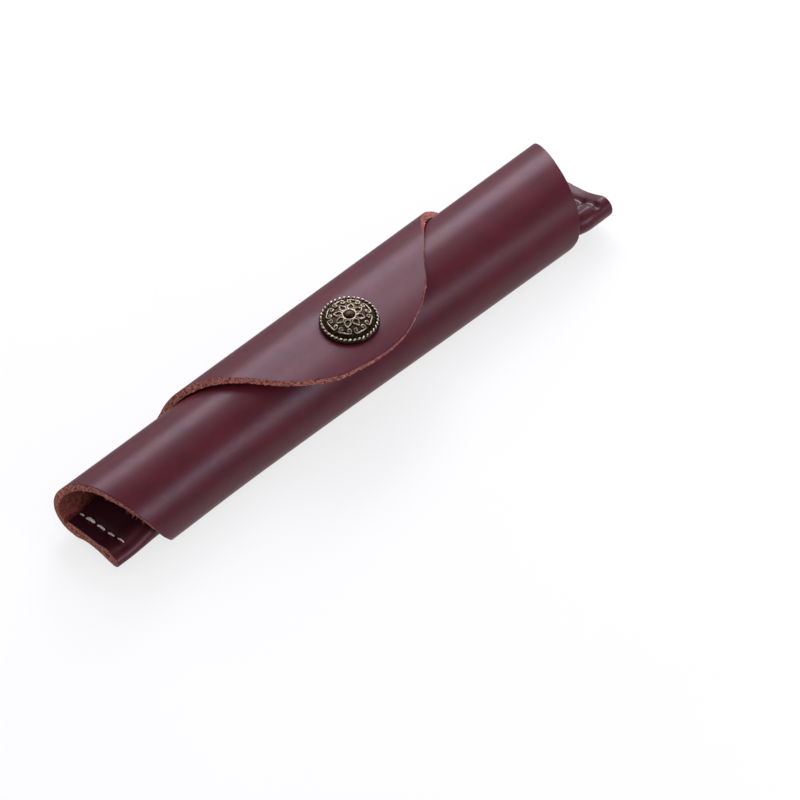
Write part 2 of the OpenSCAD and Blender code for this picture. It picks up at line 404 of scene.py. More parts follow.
def two_tones(
    tree: bpy.types.NodeTree,
    mask: bpy.types.NodeSocket,
    low: str,
    high: str,
    span: tuple[float, float],
) -> bpy.types.NodeSocket:
    """Mixes two colours by a mask.

    Args:
        tree: The material's node tree.
        mask: The pattern that chooses between the two.
        low: The colour where the mask is low.
        high: The colour where the mask is high.
        span: The two mask values between which the colours change over.

    Returns:
        The colour's output socket.
    """
    ramp = add_node(tree, "ShaderNodeValToRGB", inputs={"Fac": mask})
    ramp.color_ramp.elements[0].position = span[0]
    ramp.color_ramp.elements[0].color = linear(low)
    ramp.color_ramp.elements[1].position = span[1]
    ramp.color_ramp.elements[1].color = linear(high)
    return ramp.outputs["Color"]


def flat_place(tree: bpy.types.NodeTree) -> bpy.types.NodeSocket:
    """Reads where a point of the strip lay while it was flat, in millimetres.

    Args:
        tree: The material's node tree.

    Returns:
        The vector's output socket.
    """
    place = add_node(tree, "ShaderNodeAttribute", {"attribute_name": FLAT_PLACE})
    return add_node(
        tree,
        "ShaderNodeMapping",
        inputs={"Vector": place.outputs["Vector"], "Scale": (1 / MM,) * 3},
    ).outputs["Vector"]


def object_place(tree: bpy.types.NodeTree) -> bpy.types.NodeSocket:
    """Reads a point's place on the object in millimetres.

    Args:
        tree: The material's node tree.

    Returns:
        The vector's output socket.
    """
    place = add_node(tree, "ShaderNodeTexCoord")
    return add_node(
        tree,
        "ShaderNodeMapping",
        inputs={"Vector": place.outputs["Object"], "Scale": (1 / MM,) * 3},
    ).outputs["Vector"]


def cloud(
    tree: bpy.types.NodeTree,
    place: bpy.types.NodeSocket,
    size: float,
    detail: float = 3.0,
    distortion: float = 0.0,
) -> bpy.types.NodeSocket:
    """A cloudy noise pattern.

    Args:
        tree: The material's node tree.
        place: Where it is read, in millimetres.
        size: The size of its clouds in millimetres.
        detail: How many finer layers it has.
        distortion: How far it is warped.

    Returns:
        The pattern's output socket, from 0 to 1.
    """
    return add_node(
        tree,
        "ShaderNodeTexNoise",
        inputs={
            "Vector": place,
            "Scale": 1 / size,
            "Detail": detail,
            "Distortion": distortion,
        },
    ).outputs["Fac"]


def relief(
    tree: bpy.types.NodeTree,
    height: bpy.types.NodeSocket,
    depth: float,
    strength: float,
    below: bpy.types.NodeSocket | None = None,
) -> bpy.types.NodeSocket:
    """Turns a pattern into fine relief.

    Args:
        tree: The material's node tree.
        height: The pattern.
        depth: The relief's depth in millimetres.
        strength: How strongly it shows.
        below: Coarser relief under it.

    Returns:
        The bent normal's output socket.
    """
    inputs: dict[str | int, object] = {
        "Height": height,
        "Distance": depth * MM,
        "Strength": strength,
    }
    if below is not None:
        inputs["Normal"] = below
    return add_node(tree, "ShaderNodeBump", inputs=inputs).outputs["Normal"]


@dataclass(frozen=True)
class GrainLeather:
    """Smooth vegetable-tanned leather, dyed burgundy and lightly waxed, on its grain side."""

    deep: str = "#471420"
    warm: str = "#501622"
    # Painted shade inside the pocket: darker up to these runs and short of this X
    pocket_painted_shade: str = "#300f18"
    painted_shade_runs: tuple[float, float] = (13.0, 21.0)
    painted_shade_end: tuple[float, float] = (72.0, 92.0)
    dye_size: float = 7.0
    # Pores are finer than the render shows, so they are drawn coarser
    pore_size: float = 0.55
    pore_depth: float = 0.02
    handling_size: float = 2.2
    roughness: float = 0.36
    shine: float = 0.25

    def build(self) -> bpy.types.Material:
        """Builds the finish: slow dye clouds, fine pores and a satin wax, with painted shade
        inside the pocket.

        Returns:
            The material.
        """
        material, tree, shader = new_material("burgundy_leather_grain")
        place = flat_place(tree)
        dye = cloud(tree, place, self.dye_size, 4.0)
        tone = two_tones(tree, dye, self.deep, self.warm, (0.35, 0.65))
        ways = add_node(tree, "ShaderNodeSeparateXYZ", inputs={"Vector": place})
        outside, beyond = (
            add_node(
                tree,
                "ShaderNodeMapRange",
                {"interpolation_type": "SMOOTHSTEP"},
                {"Value": ways.outputs[way], "From Min": start, "From Max": end},
            ).outputs["Result"]
            for way, start, end in (
                ("Y", -self.painted_shade_runs[0], -self.painted_shade_runs[1]),
                ("X", *self.painted_shade_end),
            )
        )
        # Painted shade: inside the pocket the leather takes a darker colour that stands for the
        # shade there
        unshaded = add_node(
            tree, "ShaderNodeMath", {"operation": "MAXIMUM"}, {0: outside, 1: beyond}
        ).outputs[0]
        tone = add_node(
            tree,
            "ShaderNodeMix",
            {"data_type": "RGBA"},
            {0: unshaded, 6: linear(self.pocket_painted_shade), 7: tone},
        ).outputs[2]
        pores = add_node(
            tree,
            "ShaderNodeTexVoronoi",
            {"feature": "F1"},
            {"Vector": place, "Scale": 1 / self.pore_size, "Randomness": 1.0},
        ).outputs["Distance"]
        creases = cloud(tree, place, self.pore_size * 2.5, 3.0, 0.6)
        handling = cloud(tree, place, self.handling_size, 3.0)
        gloss = add_node(
            tree,
            "ShaderNodeMapRange",
            inputs={
                "Value": handling,
                "From Min": 0.3,
                "From Max": 0.7,
                "To Min": self.roughness - 0.03,
                "To Max": self.roughness + 0.04,
            },
        ).outputs["Result"]
        soft = relief(tree, creases, self.pore_depth * 2, 0.10)
        fine = relief(tree, pores, self.pore_depth, 0.12, soft)
        tree.links.new(tone, shader.inputs["Base Color"])
        tree.links.new(gloss, shader.inputs["Roughness"])
        tree.links.new(fine, shader.inputs["Normal"])
        shader.inputs["Specular IOR Level"].default_value = self.shine
        return material


@dataclass(frozen=True)
class CutLeather:
    """The raw edge of a knife cut through the leather: short reddish-brown fibres."""

    dark: str = "#521b18"
    light: str = "#cb8274"
    tuft: float = 0.5

    def build(self) -> bpy.types.Material:
        """Builds the finish: tufts of cut fibre with shadows between them.

        Returns:
            The material.
        """
        material, tree, shader = new_material("raw_leather_edge")
        place = flat_place(tree)
        tufts = cloud(tree, place, self.tuft, 4.0, 0.8)
        tone = two_tones(tree, tufts, self.dark, self.light, (0.36, 0.66))
        tree.links.new(tone, shader.inputs["Base Color"])
        tree.links.new(
            relief(tree, tufts, self.tuft / 3, 0.9), shader.inputs["Normal"]
        )
        shader.inputs["Roughness"].default_value = 0.92
        shader.inputs["IOR"].default_value = 1.45
        return material


@dataclass(frozen=True)
class FleshLeather:
    """The suede flesh side of the leather, reddish brown with a short nap."""

    dark: str = "#421614"
    light: str = "#98493e"
    nap: float = 0.75

    def build(self) -> bpy.types.Material:
        """Builds the finish: a coarse, mottled nap.

        Returns:
            The material.
        """
        material, tree, shader = new_material("suede_flesh_side")
        place = flat_place(tree)
        nap = cloud(tree, place, self.nap, 6.0, 0.7)
        tone = two_tones(tree, nap, self.dark, self.light, (0.34, 0.68))
        tree.links.new(tone, shader.inputs["Base Color"])
        tree.links.new(relief(tree, nap, self.nap / 4, 0.7), shader.inputs["Normal"])
        shader.inputs["Roughness"].default_value = 0.95
        return material


@dataclass(frozen=True)
class AntiqueBrass:
    """Cast brass with a dark patina, rubbed bright where it stands proud."""

    name: str
    dark: str
    light: str
    roughness: float
    metallic: float = 1.0
    mottle: float = 0.9

    def build(self) -> bpy.types.Material:
        """Builds the finish: mottled metal with a slightly uneven polish.

        Returns:
            The material.
        """
        material, tree, shader = new_material(self.name)
        place = object_place(tree)
        stain = cloud(tree, place, self.mottle, 4.0)
        tone = two_tones(tree, stain, self.dark, self.light, (0.35, 0.65))
        polish = add_node(
            tree,
            "ShaderNodeMapRange",
            inputs={
                "Value": stain,
                "To Min": self.roughness - 0.06,
                "To Max": self.roughness + 0.1,
            },
        ).outputs["Result"]
        tree.links.new(tone, shader.inputs["Base Color"])
        tree.links.new(polish, shader.inputs["Roughness"])
        tree.links.new(
            relief(tree, cloud(tree, place, 0.25), 0.03, 0.25), shader.inputs["Normal"]
        )
        shader.inputs["Metallic"].default_value = self.metallic
        return material


@dataclass(frozen=True)
class WaxedThread:
    """Pale waxed sewing thread."""

    name: str = "waxed_thread"
    dark: str = "#a48d8c"
    light: str = "#dccac6"

    def build(self) -> bpy.types.Material:
        """Builds the finish: fine filaments that catch the light in turn.

        Returns:
            The material.
        """
        material, tree, shader = new_material(self.name)
        place = object_place(tree)
        tone = two_tones(
            tree, cloud(tree, place, 0.3, 3.0), self.dark, self.light, (0.3, 0.6)
        )
        tree.links.new(tone, shader.inputs["Base Color"])
        tree.links.new(
            relief(tree, cloud(tree, place, 0.12), 0.03, 0.4), shader.inputs["Normal"]
        )
        shader.inputs["Roughness"].default_value = 0.5
        shader.inputs["IOR"].default_value = 1.5
        return material


@dataclass(frozen=True)
class SpringSteel:
    """Drawn spring steel wire."""

    tone: str = "#9a9a9c"
    drawn: str = "#7f7f84"

    def build(self) -> bpy.types.Material:
        """Builds the finish: grey wire with faint drawing marks.

        Returns:
            The material.
        """
        material, tree, shader = new_material("spring_steel")
        marks = cloud(tree, object_place(tree), 0.3)
        tree.links.new(
            two_tones(tree, marks, self.drawn, self.tone, (0.3, 0.7)),
            shader.inputs["Base Color"],
        )
        shader.inputs["Metallic"].default_value = 1.0
        shader.inputs["Roughness"].default_value = 0.28
        return material


# ---- the strip ----


@dataclass(frozen=True)
class RollSizes:
    """Sizes of the roll across the sleeve, which the frame's panels share."""

    centre_y: float = 2.1
    pocket_fold_y: float = 7.0
    under_fold_y: float = 9.3
    spine_low_y: float = 7.0
    pocket_top: float = 10.7
    fold_r: float = 4.2
    spine_low_r: float = 5.8
    wrap_r: float = 13.3
    wall: float = 3.6
    wrap_fold_r: float = 4.5
    turn_low_r: float = 8.0
    turn_high_r: float = 16.75
    flap_flat: float = 8.05
    flap_drop_r: float = 33.6
    flap_drop_deg: float = 24.0
    fold_softness: float = 1.2
    body_softness: float = 2.4
    sample: float = 0.2


class RollLine:
    """The line that the grain side follows, from the pocket's mouth to past the flap's point."""

    # Sections of the pocket's two pressed ends: Y and Z of the grain side, from its mouth round
    # its fold to the spine
    NEAR_SECTION = (
        (7.9, 5.8), (5.5, 6.1), (2.7, 6.4), (-0.3, 6.5), (-3.7, 6.7), (-5.6, 7.2),
        (-7.2, 7.3), (-8.9, 6.9), (-10.4, 5.9), (-11.1, 4.5), (-10.5, 3.3), (-8.6, 3.0),
        (-6.0, 3.4), (-3.2, 3.8), (0.0, 3.7), (2.9, 3.2), (5.3, 2.6), (7.0, 2.3),
    )  # fmt: skip
    FAR_SECTION = (
        (7.6, 5.6), (4.5, 5.8), (0.9, 6.3), (-2.5, 7.0), (-5.5, 7.7), (-8.2, 8.7),
        (-10.6, 10.0), (-12.6, 11.0), (-14.2, 10.9), (-15.4, 9.9), (-15.9, 8.5),
        (-15.8, 7.0), (-15.1, 5.5), (-14.0, 4.4), (-12.4, 3.7), (-10.5, 3.4), (-8.0, 3.3),
        (-5.0, 3.0), (-2.0, 2.7), (1.0, 2.4), (4.0, 2.3), (7.0, 2.3),
    )  # fmt: skip
    # Where along the sleeve each end's section takes over from the open one
    NEAR_PRESS = (-67.0, -82.0)
    FAR_LIFT = (66.0, 79.5)
    # How far the line is drawn past the strip's ends
    SPARE = 12.0

    def __init__(self, sizes: RollSizes) -> None:
        """Draws the line.

        Args:
            sizes: The roll's sizes.
        """
        self.sizes = sizes
        s = sizes
        flat = s.pocket_fold_y + s.spine_low_y
        quarter = math.pi / 2
        steps = [
            (flat, 90, 90),
            (s.fold_r * 2 * quarter, 90, 270),
            (flat, 270, 270),
            (s.spine_low_r * quarter, 270, 360),
            (s.wrap_r * 2 * quarter, 360, 540),
            (s.wall, 540, 540),
            (s.wrap_fold_r * quarter, 540, 630),
            (s.under_fold_y + s.spine_low_y, 630, 630),
            (s.turn_low_r * quarter, 630, 720),
            (s.turn_high_r * quarter, 720, 810),
            (s.flap_flat, 810, 810),
            (s.flap_drop_r * math.radians(s.flap_drop_deg), 810, 810 + s.flap_drop_deg),
        ]
        marks = np.concatenate([[0.0], np.cumsum([step[0] for step in steps])])
        self.spine_run = float(marks[3])
        self.wrap_run = float(marks[4])
        self.wall_run = float(marks[5])
        self.under_run = float(marks[7])
        self.turn_run = float(marks[8])
        self.runs = np.arange(-self.SPARE, float(marks[-1]) + self.SPARE, s.sample)
        middles = self.runs + s.sample / 2
        angles = np.interp(middles, marks, [steps[0][1], *[step[2] for step in steps]])
        heading = np.radians(angles)
        moves = np.column_stack([-np.sin(heading), np.cos(heading)]) * s.sample
        line = np.vstack([[0.0, 0.0], np.cumsum(moves, axis=0)[:-1]])
        start = np.array([np.interp(0.0, self.runs, line[:, k]) for k in (0, 1)])
        line += np.array([s.spine_low_y, s.pocket_top]) - start
        broad = np.clip(
            ease(self.runs, marks[4] + 4, marks[4] + 12)
            - ease(self.runs, marks[7] + 2, marks[7] + 8)
            + ease(self.runs, marks[9] + 2, marks[9] + 12),
            0.0,
            1.0,
        )[:, None]
        self.open_line = (1 - broad) * self._soften(
            line, s.fold_softness
        ) + broad * self._soften(line, s.body_softness)
        self.near_line = self._end_line(self.NEAR_SECTION)
        self.far_line = self._end_line(self.FAR_SECTION)

    def _soften(self, line: np.ndarray, sigma: float) -> np.ndarray:
        """Rounds a line by averaging it over a soft window, and keeps its reach.

        Args:
            line: Points at even steps.
            sigma: The window's width in millimetres.

        Returns:
            The softened line.
        """
        step = self.sizes.sample
        half = int(3.2 * sigma / step)
        window = np.exp(-0.5 * (np.arange(-half, half + 1) * step / sigma) ** 2)
        window /= window.sum()

        def blur(rows: np.ndarray) -> np.ndarray:
            """Averages a line over the window, its ends carried on straight.

            Args:
                rows: The line's points.

            Returns:
                The averaged points.
            """
            first = rows[0] + (rows[1] - rows[0]) * np.arange(-half, 0)[:, None]
            last = rows[-1] + (rows[-1] - rows[-2]) * np.arange(1, half + 1)[:, None]
            padded = np.vstack([first, rows, last])
            return np.column_stack(
                [np.convolve(padded[:, k], window, "valid") for k in (0, 1)]
            )

        soft = blur(line)
        return soft + 0.8 * (soft - blur(soft))

    def _end_line(self, section: Sequence[tuple[float, float]]) -> np.ndarray:
        """Fits a drawn section of a pocket end to the line's runs.

        Args:
            section: Points from the mouth to the spine.

        Returns:
            A line that has the drawn shape up to the spine and the open one after it.
        """
        drawn = Curve(section)
        share = np.clip(self.runs / self.spine_run, 0.0, 1.0)
        line = self.open_line.copy()
        inside = self.runs <= self.spine_run
        line[inside] = drawn.at(share[inside])
        before = self.runs < 0
        slope = drawn.points[0] - drawn.points[1]
        slope /= np.linalg.norm(slope)
        line[before] = drawn.points[0] + slope * -self.runs[before][:, None]
        window = ease(self.runs, self.spine_run - 6, self.spine_run - 1)[:, None]
        softened = (1 - window) * line + window * self.open_line
        return self._soften(softened, self.sizes.fold_softness / 2)

    def grain(self, x: np.ndarray, run: np.ndarray) -> np.ndarray:
        """Reads the grain side's place across the sleeve.

        Args:
            x: Places along the sleeve.
            run: Lengths run along the strip from the pocket's mouth.

        Returns:
            One row of Y and Z for each point.
        """
        near = ease(x, *self.NEAR_PRESS)[:, None]
        far = ease(x, *self.FAR_LIFT)[:, None]
        front = ease(run, self.wrap_run + 10.0, self.wall_run) * (
            1 - ease(run, self.under_run, self.under_run + 12.0)
        )
        # The wrap stands fuller towards the far end and at the near mouth
        flare = (
            0.32 + 0.0145 * x - 0.18 * hill(x, -12.0, 30.0) + 0.8 * hill(x, -73.0, 20.0)
        )

        def read(line: np.ndarray) -> np.ndarray:
            """Reads one of the three lines at the runs.

            Args:
                line: The open line or an end's.

            Returns:
                One row of Y and Z for each run.
            """
            return np.column_stack(
                [np.interp(run, self.runs, line[:, k]) for k in (0, 1)]
            )

        place = (
            (1 - near - far) * read(self.open_line)
            + near * read(self.near_line)
            + far * read(self.far_line)
        )
        place[:, 0] -= front * flare
        return place

    def outward(self, x: np.ndarray, run: np.ndarray) -> np.ndarray:
        """Reads the direction out of the grain side, across the sleeve.

        Args:
            x: Places along the sleeve.
            run: Lengths run along the strip.

        Returns:
            One unit row of Y and Z for each point.
        """
        reach = 0.4
        along = self.grain(x, run + reach) - self.grain(x, run - reach)
        along /= np.linalg.norm(along, axis=1)[:, None]
        return np.column_stack([along[:, 1], -along[:, 0]])

    def _height(self, x: float, y: np.ndarray, runs: np.ndarray) -> np.ndarray:
        """Height of the grain side of one panel over a line of points.

        Args:
            x: Place along the sleeve.
            y: Places across it, on the panel.
            runs: The runs that the panel lies between.

        Returns:
            The heights.
        """
        line = self.grain(np.full(runs.shape, x), runs)
        order = np.argsort(line[:, 0])
        return np.interp(y, line[order, 0], line[order, 1])

    def pocket_height(self, x: float, y: np.ndarray) -> np.ndarray:
        """Height of the pocket panel's grain side at places across it."""
        return self._height(x, y, np.linspace(0.0, self.spine_run * 0.42, 120))

    def base_height(self, x: float, y: np.ndarray) -> np.ndarray:
        """Height of the base panel's underside at places across it."""
        runs = np.linspace(self.spine_run * 0.6, self.spine_run + 4, 140)
        return self._height(x, y, runs)


@dataclass(frozen=True)
class Pressing:
    """Leather pressed flat round a part of the press stud."""

    x: float
    y: float
    grain_z: float
    flesh_z: float
    flat_r: float
    fade_r: float


@dataclass
class LeatherPiece:
    """A stretch of the strip: cut flat, made thick, its edges roughened, and rolled up."""

    line: RollLine
    thickness: float = 2.0
    round_edge: float = 0.28
    fray: float = 0.11
    seed: int = 4

    def thin(self, x: np.ndarray, run: np.ndarray) -> np.ndarray:
        """Leaves the full thickness everywhere."""
        return np.ones(len(x))

    def dents(self, x: np.ndarray, run: np.ndarray, y: np.ndarray) -> np.ndarray:
        """Leaves the leather undented."""
        return np.zeros(len(x))

    def lay_flat(
        self,
        name: str,
        columns: int,
        rows: int,
        place: Callable[[np.ndarray, np.ndarray], np.ndarray],
        finishes: Sequence[bpy.types.Material],
    ) -> bpy.types.Object:
        """Lays out a flat grid and fits it to the cut outline.

        Args:
            name: The piece's name.
            columns: Cells along the sleeve.
            rows: Cells along the strip.
            place: Gives the flat X and run for each cell corner's shares.
            finishes: The grain, cut edge and flesh side materials.

        Returns:
            The flat sheet, grain side up, with the run counted along -Y.
        """
        deselect_all()
        bpy.ops.mesh.primitive_grid_add(
            x_subdivisions=columns, y_subdivisions=rows, size=1.0
        )
        piece = bpy.context.active_object
        piece.name = name
        piece.data.name = name
        dress(piece, *finishes)
        co = read_points(piece) * MM
        where = place(co[:, 0] + 0.5, 0.5 - co[:, 1])
        write_points(
            piece, np.column_stack([where[:, 0], -where[:, 1], np.zeros(len(where))])
        )
        return piece

    def thicken(
        self, piece: bpy.types.Object, joint_run: Callable[[float], bool]
    ) -> None:
        """Gives the sheet its thickness and dresses its cut edges.

        Args:
            piece: The flat sheet.
            joint_run: Says whether a run is where the strip goes on in the next piece.
        """

        def upright(edge: bmesh.types.BMEdge) -> bool:
            """Says whether an edge crosses the leather's thickness."""
            a, b = edge.verts
            return abs(a.co.z - b.co.z) > self.thickness * MM * 0.9

        def rim(edge: bmesh.types.BMEdge) -> bool:
            """Says whether an edge parts a cut face from the grain or the flesh side.

            Args:
                edge: The edge.

            Returns:
                Whether it does, away from the joint.
            """
            kinds = {face.material_index for face in edge.link_faces}
            middle = -(edge.verts[0].co.y + edge.verts[1].co.y) / 2 / MM
            return len(kinds) == 2 and not joint_run(middle)

        solid = piece.modifiers.new("leather_thickness", "SOLIDIFY")
        solid.thickness = self.thickness * MM
        solid.offset = -1.0
        solid.use_rim = True
        solid.material_offset_rim = Zone.CUT_EDGE.value
        solid.material_offset = Zone.FLESH.value
        apply_modifiers(piece)
        bpy.ops.object.mode_set(mode="EDIT")
        bpy.ops.mesh.select_mode(type="EDGE")
        select_edges(piece, upright)
        bpy.ops.mesh.subdivide(number_cuts=3)
        select_edges(piece, rim)
        bpy.ops.mesh.bevel(
            offset=self.round_edge * MM, segments=2, affect="EDGES", clamp_overlap=True
        )
        bpy.ops.object.mode_set(mode="OBJECT")

    def roughen_edges(
        self, piece: bpy.types.Object, joint_run: Callable[[float], bool]
    ) -> None:
        """Breaks up the cut edge, most of all along its flesh side.

        Args:
            piece: The flat, thick sheet.
            joint_run: Says whether a run is where the strip goes on in the next piece.
        """
        chance = np.random.default_rng(self.seed)
        points = read_points(piece)
        edge = sorted(
            {
                v
                for face in piece.data.polygons
                if face.material_index == Zone.CUT_EDGE.value
                for v in face.vertices
            }
        )
        edge = [v for v in edge if not joint_run(-points[v, 1])]
        depth = np.clip(-points[edge, 2] / self.thickness, 0.0, 1.0)
        amount = self.fray * (0.25 + 1.35 * depth**1.5)
        slow = np.array(
            [
                noise.noise(Vector((points[v, 0] * 0.9, points[v, 1] * 0.9, 3.0)))
                for v in edge
            ]
        )
        push = chance.normal(0.0, 1.0, (len(edge), 2)) * 0.6 + slow[:, None]
        points[edge, :2] += push * amount[:, None]
        write_points(piece, points)

    def keep_flat_place(self, piece: bpy.types.Object) -> None:
        """Stores each point's place on the flat strip, which the finishes read.

        Args:
            piece: The flat sheet.
        """
        place = piece.data.attributes.new(FLAT_PLACE, "FLOAT_VECTOR", "POINT")
        place.data.foreach_set(
            "vector", (read_points(piece) * MM).astype(np.float32).ravel()
        )

    def roll(
        self,
        piece: bpy.types.Object,
        pressing: Pressing,
        pressed_runs: tuple[float, float],
    ) -> None:
        """Rolls the flat sheet up along the roll line.

        Args:
            piece: The flat sheet.
            pressing: The flat place round the stud.
            pressed_runs: The stretch of the strip that the stud is set in.
        """
        points = read_points(piece)
        x, run, depth = points[:, 0], -points[:, 1], -points[:, 2]
        outer = self.line.grain(x, run)
        out = self.line.outward(x, run)
        place = outer - out * (depth * self.thin(x, run))[:, None]
        place[:, 1] -= self.dents(x, run, outer[:, 0])
        near_by = np.linspace(*pressed_runs, 200)
        ways = self.line.grain(np.full(200, pressing.x), near_by)[:, 0]
        middle = near_by[np.argmin(np.abs(ways - pressing.y))]
        reach = np.hypot(x - pressing.x, run - middle)
        held = (run > pressed_runs[0]) & (run < pressed_runs[1])
        flat = (1 - ease(reach, pressing.flat_r, pressing.fade_r)) * held
        share = depth / self.thickness
        target = pressing.grain_z + (pressing.flesh_z - pressing.grain_z) * share
        place[:, 1] += flat * (target - place[:, 1])
        place[:, 0] += flat * (outer[:, 0] - place[:, 0])
        place[:, 0] += self.line.sizes.centre_y
        write_points(piece, np.column_stack([x, place]))


@dataclass
class RolledBody(LeatherPiece):
    """Pocket, base, wrap and underside: the part of the strip that stays rolled."""

    half_len: float = 85.0
    # How far each end draws in: the run from the foot of the spine, and the inset
    near_cut: tuple[tuple[float, float], ...] = (
        (0.0, 0.0), (12.0, 0.0), (17.0, 0.5), (20.8, 1.7), (24.1, 2.7), (28.3, 3.8),
        (34.2, 5.3), (39.9, 7.5), (46.0, 10.3), (51.9, 13.2), (57.0, 16.4), (63.0, 19.4),
        (70.0, 21.4), (77.9, 22.45), (90.0, 23.0),
    )  # fmt: skip
    far_cut: tuple[tuple[float, float], ...] = (
        (-60.0, -1.4), (-41.2, -1.4), (-10.0, -1.4), (-3.0, -0.9), (4.0, -0.1), (9.0, 0.1),
        (15.0, 0.7), (20.2, 2.3), (26.0, 4.2), (33.3, 6.5), (40.2, 8.2), (45.2, 9.2),
        (50.0, 9.9), (53.0, 10.4), (54.6, 11.1), (56.3, 12.5), (58.5, 15.2), (62.0, 17.9),
        (68.0, 20.4), (77.9, 22.45), (90.0, 23.0),
    )  # fmt: skip
    columns: int = 150
    rows: int = 226
    far_seam_x: float = 82.0
    near_seam_x: float = -80.5
    pressing: Pressing = Pressing(0.0, -5.4, 20.78, 19.32, 4.8, 9.5)

    def _inset(
        self, run: np.ndarray, cut: Sequence[tuple[float, float]]
    ) -> np.ndarray:
        """How far an end has drawn in.

        Args:
            run: Runs along the wrap from the foot of the spine.
            cut: The end's cut.

        Returns:
            The inset for each run.
        """
        drawn = Curve(cut, 8).points
        return np.interp(run, drawn[:, 0], drawn[:, 1])

    def outline(self, share: np.ndarray, along: np.ndarray) -> np.ndarray:
        """Places a cell corner on the flat strip.

        Args:
            share: Its share from the near end to the far end.
            along: Its share from the pocket's mouth to the turn.

        Returns:
            One row of X and run for each corner.
        """
        run = along * self.line.turn_run
        wrap_run = run - self.line.spine_run
        near = -self.half_len + self._inset(wrap_run, self.near_cut)
        far = self.half_len - self._inset(wrap_run, self.far_cut)
        eased = 0.45 * share + 0.55 * (0.5 - 0.5 * np.cos(np.pi * share))
        return np.column_stack([near + (far - near) * eased, run])

    def thin(self, x: np.ndarray, run: np.ndarray) -> np.ndarray:
        """The pocket's sewn ends are pared thinner.

        Args:
            x: Places along the sleeve.
            run: Runs along the strip.

        Returns:
            The share of the full thickness.
        """
        ends = ease(np.abs(x), 74.0, 80.0)
        pocket = 1 - ease(run, self.line.spine_run - 5, self.line.spine_run + 3)
        return 1 - 0.17 * ends * pocket

    def dents(self, x: np.ndarray, run: np.ndarray, y: np.ndarray) -> np.ndarray:
        """How far the seams and their puckers press the leather down.

        Args:
            x: Places along the sleeve.
            run: Runs along the strip.
            y: Places across it.

        Returns:
            The depth of the dent at each point.
        """
        panel = 1 - ease(run, 18.5, 23.0)
        base = ease(run, 25.0, 30.0) * (1 - ease(run, 38.0, 43.0))
        far_seam = self.far_seam_x + 0.6 * ease(y, 8.0, -14.0)
        far_valley = hill(x, far_seam, 1.0) * ease(y, -15.4, -13.6)
        near_valley = hill(x, self.near_seam_x, 1.0) * ease(y, -10.2, -8.0)
        pits = hill(x, far_seam, 0.9) * (hill(y, -8.9, 0.8) + hill(y, -13.1, 0.7))
        ridges = hill(x, 79.0, 2.6) * (
            hill(y, -9.6, 0.8) + hill(y, -12.4, 0.8)
        ) + 0.8 * hill(x, self.near_seam_x, 3.4) * hill(y, -8.0, 0.7)
        lip = hill(y, -8.9, 0.7) * ease(x, -56.0, -70.0)
        ripple = hill(x, 78.5, 3.0) * 0.1 * np.sin(y * 1.9) * ease(y, -14.0, -10.0)
        return (
            panel
            * (
                0.7 * far_valley
                + 0.5 * near_valley
                + 0.7 * pits
                + 0.5 * lip
                - 0.34 * ridges
                - ripple
            )
            + base * 0.4 * far_valley
        )

    def build(self, finishes: Sequence[bpy.types.Material]) -> bpy.types.Object:
        """Cuts, dresses and rolls the piece.

        Args:
            finishes: The grain, cut edge and flesh side materials.

        Returns:
            The finished piece.
        """

        def joint(run: float) -> bool:
            """Says whether a run is where the turn starts."""
            return run > self.line.turn_run - 0.02

        piece = self.lay_flat(
            "rolled_leather_body", self.columns, self.rows, self.outline, finishes
        )
        self.thicken(piece, joint)
        self.roughen_edges(piece, joint)
        self.keep_flat_place(piece)
        spine = self.line.spine_run
        self.roll(piece, self.pressing, (spine + 20.0, spine + 50.0))
        smooth_shade(piece, 50.0)
        return piece


